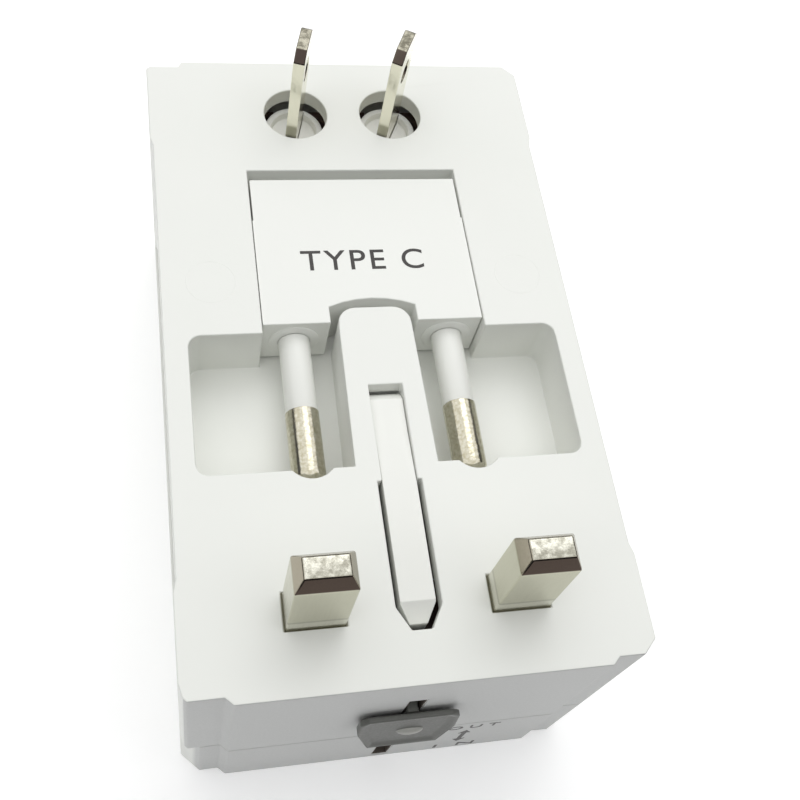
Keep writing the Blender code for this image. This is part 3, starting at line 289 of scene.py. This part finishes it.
ZINC = plated_metal("zinc_plate", (0.66, 0.66, 0.63), (0.55, 0.55, 0.52), 0.30, "Z")


# ---------------------------------------------------------------- geometry tools

def add_piece(name, mesh, material, body, slot, *replaced):
    """Make an object of a mesh that rides on a body and stands for any CAD nodes named after the slot."""
    obj = bpy.data.objects.new(name, mesh)
    PIECES.objects.link(obj)
    mesh.materials.clear()
    mesh.materials.append(material)
    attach(obj, body)
    if replaced:
        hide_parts(*replaced)


def new_mesh(name, bm):
    """Turn a bmesh into a mesh and free it."""
    mesh = bpy.data.meshes.new(name)
    bm.to_mesh(mesh)
    bm.free()
    return mesh


def evaluated(obj):
    """The mesh of an object with its modifiers applied."""
    bpy.context.view_layer.update()
    graph = bpy.context.evaluated_depsgraph_get()
    return bpy.data.meshes.new_from_object(obj.evaluated_get(graph))


def shaded(mesh):
    """Shade a mesh smooth, keeping its corners sharp."""
    mesh.shade_smooth()
    mesh.set_sharp_from_angle(angle=math.radians(40))
    return mesh


def in_mm(points):
    """Points given in millimetres, in metres."""
    return [tuple(part * MM for part in point) for point in points]


def arc(centre, radius, start, end, steps=8):
    """Points on an arc, with angles in degrees."""
    angles = [math.radians(start + (end - start) * i / steps) for i in range(steps + 1)]
    return [(centre[0] + radius * math.cos(a), centre[1] + radius * math.sin(a)) for a in angles]


def weld(bm):
    """Join vertices that coincide and make single faces of flat areas."""
    bmesh.ops.remove_doubles(bm, verts=bm.verts, dist=0.002 * MM)
    bmesh.ops.dissolve_limit(bm, angle_limit=math.radians(0.6), verts=bm.verts, edges=bm.edges,
                             delimit=set())


def clean_copy(node):
    """A bmesh of a CAD node with its seams welded and its flat areas made single faces."""
    bm = bmesh.new()
    bm.from_mesh(NODES[node].data)
    weld(bm)
    return bm


def edge_is_sharp(edge, angle):
    """Whether two faces meet at an edge at more than an angle."""
    return len(edge.link_faces) == 2 and edge.calc_face_angle(0.0) > angle


def bevel_share(edge, width):
    """How much of a bevel's width an edge has room for, from the edges that meet it."""
    beside = [other for vert in edge.verts for other in vert.link_edges if other is not edge]
    room = min((0.45 * other.calc_length() / width for other in beside), default=1.0)
    return max(min(1.0, room), 0.02)


def softened(bm, name, width, segments=3, angle=25.0):
    """The mesh of a bmesh with its sharp edges rounded and its flat faces shaded flat."""
    weight = bm.edges.layers.float.new("bevel_weight_edge")
    for edge in bm.edges:
        if edge_is_sharp(edge, math.radians(angle)):
            edge[weight] = bevel_share(edge, width)
    mesh = new_mesh(name, bm)
    mesh.shade_smooth()
    obj = bpy.data.objects.new(name, mesh)
    PIECES.objects.link(obj)
    bevel = obj.modifiers.new("rounding", "BEVEL")
    bevel.limit_method = "WEIGHT"
    bevel.width = width
    bevel.segments = segments
    bevel.use_clamp_overlap = False
    level = obj.modifiers.new("flat_faces", "WEIGHTED_NORMAL")
    level.mode = "FACE_AREA"
    level.weight = 100
    level.keep_sharp = False
    final = evaluated(obj)
    bpy.data.objects.remove(obj)
    return final


def rounded(node, width, material, slot):
    """A copy of a CAD node with its sharp edges rounded, which stands for the node."""
    mesh = softened(clean_copy(node), node + "_body", width)
    add_piece(node + "_body", mesh, material, BODY_OF[node], slot, node)


def lathe(name, profile, origin, axis, steps=96):
    """The mesh of a solid of revolution, from a profile of (radius, distance along the axis) in mm."""
    bm = bmesh.new()
    turn = Vector(UP).rotation_difference(Vector(axis)).to_matrix()
    rings = []
    for radius, height in in_mm(profile):
        if radius < 0.0001 * MM:
            rings.append([bm.verts.new(Vector(origin) + turn @ Vector((0, 0, height)))])
            continue
        ring = []
        for step in range(steps):
            angle = 2 * math.pi * step / steps
            point = Vector((radius * math.cos(angle), radius * math.sin(angle), height))
            ring.append(bm.verts.new(Vector(origin) + turn @ point))
        rings.append(ring)
    for low, high in zip(rings, rings[1:]):
        for step in range(steps):
            after = (step + 1) % steps
            if len(low) == 1:
                bm.faces.new((low[0], high[after], high[step]))
            elif len(high) == 1:
                bm.faces.new((low[step], low[after], high[0]))
            else:
                bm.faces.new((low[step], low[after], high[after], high[step]))
    bmesh.ops.recalc_face_normals(bm, faces=bm.faces)
    return shaded(new_mesh(name, bm))


def prism(outline, low, high, matrix=None):
    """A flat outline given a thickness along Z, then moved by a matrix."""
    bm = bmesh.new()
    face = bm.faces.new([bm.verts.new((x, y, low)) for x, y in outline])
    grown = bmesh.ops.extrude_face_region(bm, geom=[face])["geom"]
    for vert in [part for part in grown if isinstance(part, bmesh.types.BMVert)]:
        vert.co.z = high
    bmesh.ops.recalc_face_normals(bm, faces=bm.faces)
    if matrix is not None:
        bmesh.ops.transform(bm, matrix=matrix, verts=bm.verts)
    return new_mesh("prism", bm)


def box(low, high):
    """The mesh of a box between two corners."""
    outline = [(low[0], low[1]), (high[0], low[1]), (high[0], high[1]), (low[0], high[1])]
    return prism(outline, low[2], high[2])


def carved(mesh, tool):
    """A mesh with another mesh cut out of it."""
    objects = [bpy.data.objects.new(part.name, part) for part in (mesh, tool)]
    for obj in objects:
        PIECES.objects.link(obj)
    cut = objects[0].modifiers.new("cut", "BOOLEAN")
    cut.operation = "DIFFERENCE"
    cut.solver = "EXACT"
    cut.object = objects[1]
    final = evaluated(objects[0])
    for obj in objects:
        bpy.data.objects.remove(obj)
    return shaded(final)


# ---------------------------------------------------------------- rounded copies of the CAD pieces

rounded("upper_shell", 0.18 * MM, SHELL, "shell_white_abs")
rounded("lower_shell", 0.18 * MM, SHELL, "shell_white_abs")
rounded("eu_block", 0.16 * MM, BLOCK, "block_white_abs")
for side, _ in SIDES:
    rounded("uk_pin_" + side, 0.2 * MM, UK_NICKEL, "nickel_plated_brass")
    rounded("us_blade_" + side, 0.12 * MM, US_NICKEL, "nickel_plated_brass")


def earth_pin():
    """The earth pin with one width from root to taper, a close fit in the upper part of its slot."""
    half_width = 1.95 * MM
    bm = clean_copy("earth_pin")
    for vert in bm.verts:
        if 1.7 * MM < abs(vert.co.x) < 2.1 * MM:
            vert.co.x = math.copysign(half_width, vert.co.x)
    weld(bm)
    mesh = softened(bm, "earth_pin_body", 0.08 * MM)
    add_piece("earth_pin_body", mesh, NYLON, BODY_OF["earth_pin"], "pin_white_nylon", "earth_pin")


earth_pin()


# ---------------------------------------------------------------- knobs

BAR_Y, BAR_Z = 43.8 * MM, 22.9 * MM
BAR_SHIFT = 0.1 * MM
BAR_HALF = Vector((1.6, 0.6, 0.65)) * MM


def dished_plate(node, end):
    """A knob's plate with a dished thumb face."""
    bm = clean_copy(node)
    bm.normal_update()
    outward = Vector((0.0, end, 0.0))
    facing = [face for face in bm.faces if face.normal.dot(outward) > 0.9]
    front = max(facing, key=lambda face: face.calc_area())
    bmesh.ops.inset_region(bm, faces=[front], thickness=0.45 * MM, depth=0.0)
    bmesh.ops.inset_region(bm, faces=[front], thickness=0.7 * MM, depth=-0.3 * MM)
    mesh = softened(bm, node + "_body", 0.25 * MM, 4, 14.0)
    add_piece(node + "_body", mesh, GREY, BODY_OF[node], "knob_grey_abs", node)


def oval_bar(node, end):
    """The raised oval bar in the middle of a knob's thumb face, in a lighter grey that is a painted
    highlight.
    """
    centre = Vector((-BAR_SHIFT * end, BAR_Y * end, BAR_Z))
    bm = bmesh.new()
    bmesh.ops.create_uvsphere(bm, u_segments=40, v_segments=24, radius=1.0)
    for vert in bm.verts:
        vert.co = centre + vert.co * BAR_HALF
    mesh = new_mesh(node + "_bar", bm)
    mesh.shade_smooth()
    add_piece(node + "_bar", mesh, BAR_LIT_GREY, BODY_OF[node], "knob_grey_abs")


for node, end in (("uk_knob", -1), ("us_knob", 1)):
    dished_plate(node, end)
    oval_bar(node, end)


# ---------------------------------------------------------------- round pins and ejector marks

# Profiles are (radius, place along Y) in millimetres; the pins point towards minus Y.
PIN_NOSE = [(radius, -height) for radius, height in arc((0.8, 16.8), 1.2, 0, 90)]
PIN_PROFILE = [(0.0, 22.4), (1.3, 22.4), (1.3, -8.75), (1.92, -8.75), (2.0, -8.83), *PIN_NOSE, (0.0, -18.0)]
SLEEVE_PROFILE = [(1.5, 1.05), (1.9, 1.05), (1.9, -8.64), (1.85, -8.72), (1.5, -8.72), (1.5, 1.05)]
COLLAR_PROFILE = [(1.95, 1.5), (1.95, 1.08), (2.9, 1.08), (3.05, 1.2), (3.05, 1.5), (1.95, 1.5)]
MARK_PROFILE = arc((2.9, 0.0), 0.07, 0, 360, 12)
MARK_X, MARK_Y, MARK_DEPTH = 19.05 * MM, 7.4 * MM, 0.055 * MM


def round_pin(side, sign):
    """A type C pin with its sleeve and the collar at its root."""
    origin = (sign * EU_PIN_X, 0.0, EU_PIN_Z)
    add_piece("eu_pin_body_" + side, lathe("pin", PIN_PROFILE, origin, ALONG_Y), ROUND_NICKEL,
              "eu_flap", "nickel_plated_brass", "eu_pin_" + side)
    add_piece("eu_sleeve_body_" + side, lathe("sleeve", SLEEVE_PROFILE, origin, ALONG_Y), NYLON,
              "eu_flap", "pin_white_nylon", "eu_sleeve_" + side)
    add_piece("eu_collar_" + side, lathe("collar", COLLAR_PROFILE, origin, ALONG_Y), BLOCK,
              "eu_flap", "block_white_abs")


def ejector_mark(side, sign):
    """A faint ring left in the plug face by the mould."""
    place = (sign * MARK_X, MARK_Y, FACE_Z - MARK_DEPTH)
    add_piece("ejector_mark_" + side, lathe("mark", MARK_PROFILE, place, UP), SHELL, "case",
              "shell_white_abs")


for side, sign in SIDES:
    round_pin(side, sign)
    ejector_mark(side, sign)


# ---------------------------------------------------------------- turrets

# A turret's profile is (radius, height) in millimetres, from the dish to the flange underneath.
TURRET_PROFILE = [
    (0.0, 33.85), (2.8, 33.85), (2.93, 33.9), (3.0, 34.03), (3.0, 34.73), (3.1, 34.85), (3.73, 34.85),
    (3.85, 34.73), (3.85, 28.7), (4.8, 28.7), (4.9, 28.6), (4.9, 26.9), (0.0, 26.9),
]
BLADE_TURN = {"left": -16.0, "right": -26.0}
BLADE_SLOT = [(-0.78, -3.4), (0.78, -3.4), (0.78, 3.4), (-0.78, 3.4)]
BLADE_SLOT_BOTTOM, BLADE_SLOT_TOP = 25.0 * MM, 36.0 * MM


def turret(side, sign):
    """A dished turret with a slot for its blade, turned to the blade's angle."""
    centre = Vector((sign * US_BLADE_X, US_BLADE_Y, 0.0))
    move = Matrix.Translation(centre) @ Matrix.Rotation(math.radians(BLADE_TURN[side]), 4, "Z")
    slot = prism(in_mm(BLADE_SLOT), BLADE_SLOT_BOTTOM, BLADE_SLOT_TOP, move)
    mesh = carved(lathe("turret", TURRET_PROFILE, centre, UP), slot)
    # The turret gets the brighter white that paints light into its dish.
    add_piece("us_turret_body_" + side, mesh, TURRET_LIT, side + "_turret", "inner_white_pbt",
              "us_turret_" + side)


for side, sign in SIDES:
    turret(side, sign)


# ---------------------------------------------------------------- screws

# The screws point up from the underside; profiles are (radius, height) in millimetres.
THREAD_TURNS = 24
THREAD_TOP, THREAD_PITCH = 21.6, 0.8
SCREW_RADIUS, THREAD_ROOT = 1.2, 0.95
THREAD = [point for turn in range(THREAD_TURNS)
          for point in ((SCREW_RADIUS, THREAD_TOP - THREAD_PITCH * turn),
                        (THREAD_ROOT, THREAD_TOP - THREAD_PITCH * (turn + 0.5)))]
SCREW_HEAD = [(2.4, 2.4), (2.5, 2.3), (2.5, 1.4), (2.42, 1.1), (2.2, 0.88), (1.8, 0.74), (1.2, 0.7),
              (0.0, 0.7)]
SCREW_PROFILE = [(0.0, 24.0), (0.5, 24.0), *THREAD, (SCREW_RADIUS, 2.4), *SCREW_HEAD]
CROSS_ARM = [(0.25, 0.25), (1.2, 0.25), (1.2, -0.25)]
CROSS_TOP = 1.7 * MM
CROSS_TURN = 0.6


def quarter_turns(points):
    """An outline repeated clockwise in four quarter turns."""
    outline = []
    for _ in range(4):
        outline += points
        points = [(y, -x) for x, y in points]
    return outline


def screw(number, x, y):
    """A case screw with its thread and a cross recess; each one stopped at its own angle."""
    move = Matrix.Translation((x, y, 0.0)) @ Matrix.Rotation(CROSS_TURN * number, 4, "Z")
    cross = prism(in_mm(quarter_turns(CROSS_ARM)), 0.0, CROSS_TOP, move)
    mesh = carved(lathe("screw", SCREW_PROFILE, (x, y, 0.0), UP, 48), cross)
    add_piece(f"case_screw_body_{number}", mesh, ZINC, "case", "zinc_screw", f"case_screw_{number}")


CORNERS = [(x, y) for y in (-SCREW_Y, SCREW_Y) for x in (-SCREW_X, SCREW_X)]
for number, (x, y) in enumerate(CORNERS, start=1):
    screw(number, x, y)


# ---------------------------------------------------------------- seals and slot lips, coloured with painted shade

SEAL_HALF = (3.6 * MM, 2.4 * MM)
SEAL_OPENING_HALF = (3.2 * MM, 2.03 * MM)
SEAL_BOTTOM, SEAL_TOP = 37.0 * MM, 37.7 * MM
LIP_INNER, LIP_OUTER = 0.88 * MM, 1.05 * MM
LIP_BOTTOM = 1.0 * MM
LIP_TOP = {"near": 30.95 * MM, "far": 31.65 * MM}
LIP_END_Y = END_WALL_Y - 0.15 * MM
SOLE_HALF, SOLE_INNER_Y = 1.0 * MM, 38.25 * MM
SOLE_BOTTOM, SOLE_TOP = 0.95 * MM, 1.12 * MM


def box_about(x, y, half, bottom, top):
    """A box centred on a point, with the given half sizes."""
    return box((x - half[0], y - half[1], bottom), (x + half[0], y + half[1], top))


def pin_seal(side, sign):
    """A thin frame round a rectangular pin, just under the plug face, in an olive that is painted shade."""
    x = sign * UK_PIN_X
    ring = box_about(x, UK_PIN_Y, SEAL_HALF, SEAL_BOTTOM, SEAL_TOP)
    opening = box_about(x, UK_PIN_Y, SEAL_OPENING_HALF, SEAL_BOTTOM - 1.0 * MM, FACE_Z + 1.0 * MM)
    add_piece("pin_seal_" + side, carved(ring, opening), SEAL_SHADE, "case", "inner_white_pbt")


def slot_shade_lining(word, end):
    """Dark lips on both sides of a slider's slot, and a sole that closes its lower end: thin sheets of
    painted shade.
    """
    y_low, y_high = sorted((end * CAVITY_END_Y, end * LIP_END_Y))
    for side, sign in SIDES:
        x_low, x_high = sorted((sign * LIP_INNER, sign * LIP_OUTER))
        lip = box((x_low, y_low, LIP_BOTTOM), (x_high, y_high, LIP_TOP[word]))
        add_piece(f"slot_lip_{word}_{side}", lip, SLOT_SHADE, "case", "inner_dark_pbt")
    y_low, y_high = sorted((end * SOLE_INNER_Y, end * LIP_END_Y))
    sole = box((-SOLE_HALF, y_low, SOLE_BOTTOM), (SOLE_HALF, y_high, SOLE_TOP))
    add_piece("slot_sole_" + word, sole, SLOT_SHADE, "case", "inner_dark_pbt")


for side, sign in SIDES:
    pin_seal(side, sign)
for word, end in ENDS:
    slot_shade_lining(word, end)


# ---------------------------------------------------------------- printed marks

PRINT_DEPTH = 0.03 * MM
ARROW_SIDE = [(0.0, 0.0), (1.0, 1.4), (0.35, 1.4), (0.35, 4.6), (1.0, 4.6)]
ARROW = [*ARROW_SIDE, *((-across, 6.0 - up) for across, up in ARROW_SIDE)]


def on_block(across, up, out):
    """A place on top of the two-pin block."""
    return Vector((across, up, BLOCK_TOP_Z + out))


def on_near_wall(across, up, out):
    """A place on the near end wall."""
    return Vector((across, -END_WALL_Y - out, up))


def word_mesh(text, spacing, weight=0.0):
    """A word in the built-in font as a solid mesh."""
    curve = bpy.data.curves.new("word", "FONT")
    curve.body = text
    curve.extrude = 0.1
    curve.offset = weight
    curve.space_character = spacing
    obj = bpy.data.objects.new("word", curve)
    PIECES.objects.link(obj)
    mesh = evaluated(obj)
    bpy.data.objects.remove(obj)
    return mesh


def printed(name, mesh, low, high, place, body):
    """Stretch a flat mesh to fill a rectangle in millimetres and lay it on a surface as a thin print.

    place turns (across, up, out) into a point in the adapter's frame.
    """
    low, high = in_mm((low, high))
    bm = bmesh.new()
    bm.from_mesh(mesh)
    xs = [vert.co.x for vert in bm.verts]
    ys = [vert.co.y for vert in bm.verts]
    zs = [vert.co.z for vert in bm.verts]
    for vert in bm.verts:
        across = low[0] + (vert.co.x - min(xs)) / (max(xs) - min(xs)) * (high[0] - low[0])
        up = low[1] + (vert.co.y - min(ys)) / (max(ys) - min(ys)) * (high[1] - low[1])
        out = math.copysign(PRINT_DEPTH, vert.co.z - (min(zs) + max(zs)) / 2)
        vert.co = place(across, up, out)
    add_piece(name, new_mesh(name, bm), INK, body, "knob_grey_abs")


printed("type_label", word_mesh("TYPE C", 1.15, 0.004), (-8.0, 8.75), (7.3, 11.7), on_block, "eu_flap")
printed("out_label", word_mesh("OUT", 1.5), (7.0, 12.0), (13.6, 13.6), on_near_wall, "case")
printed("in_label", word_mesh("IN", 2.2), (7.2, 1.1), (12.6, 2.9), on_near_wall, "case")
printed("slide_arrow", prism(ARROW, -0.1, 0.1), (9.0, 4.2), (10.6, 10.8), on_near_wall, "case")


# ---------------------------------------------------------------- looks of the pieces kept from the CAD

LOOKS = {
    "inner_white_pbt": INNER, "inner_dark_pbt": DARK, "brass_strip": BRASS, "spring_steel": STEEL,
    "wire_sleeve": WIRE,
}
for entry in frame["record"]["subparts"]:
    node = NODES[entry["node"]]
    if not node.hide_render:
        node.data.materials.clear()
        node.data.materials.append(LOOKS[entry["material_slot"]])


# ---------------------------------------------------------------- floor, light and camera

FLOOR_HALF = 0.45
FLOOR_GLOW = 0.25


def floor():
    """A plain pale floor under the adapter, with a faint glow of its own."""
    bm = bmesh.new()
    bmesh.ops.create_grid(bm, x_segments=1, y_segments=1, size=FLOOR_HALF)
    mesh = new_mesh("floor", bm)
    obj = bpy.data.objects.new("floor", mesh)
    bpy.context.scene.collection.objects.link(obj)
    paper = new_material("floor_paper", (0.92, 0.92, 0.92), 0.8)
    shader = paper.node_tree.nodes["Principled BSDF"]
    shader.inputs["Emission Color"].default_value = (1.0, 1.0, 1.0, 1.0)
    shader.inputs["Emission Strength"].default_value = FLOOR_GLOW
    mesh.materials.append(paper)


def area_light(name, place, size, power):
    """A square soft light that shines straight down."""
    data = bpy.data.lights.new(name, "AREA")
    data.shape = "SQUARE"
    data.size = size
    data.energy = power
    obj = bpy.data.objects.new(name, data)
    obj.location = place
    bpy.context.scene.collection.objects.link(obj)


def world(colour, strength):
    """An even dim surround."""
    made = bpy.data.worlds.new("surround")
    bpy.context.scene.world = made
    made.use_nodes = True
    back = made.node_tree.nodes["Background"]
    back.inputs["Color"].default_value = (*colour, 1.0)
    back.inputs["Strength"].default_value = strength


def camera(place, tilt, roll, heading):
    """The camera, with its turns in degrees: above the near left corner, looking steeply down."""
    data = bpy.data.cameras.new("camera")
    data.lens = 49.49
    data.sensor_width = 36.0
    data.clip_start = 0.01
    obj = bpy.data.objects.new("camera", data)
    obj.location = place
    obj.rotation_euler = [math.radians(turn) for turn in (tilt, roll, heading)]
    bpy.context.scene.collection.objects.link(obj)
    bpy.context.scene.camera = obj


floor()
world((0.95, 0.97, 1.0), 0.115)
area_light("overhead", (0.0, 0.41, 0.60), 1.8, 11.8)
area_light("core", (0.15, 0.34, 0.58), 0.34, 0.50)
camera((-25.295 * MM, -66.949 * MM, 148.241 * MM), tilt=28.4434, roll=-9.3993, heading=-8.2593)
bpy.context.scene.view_settings.view_transform = "Standard"
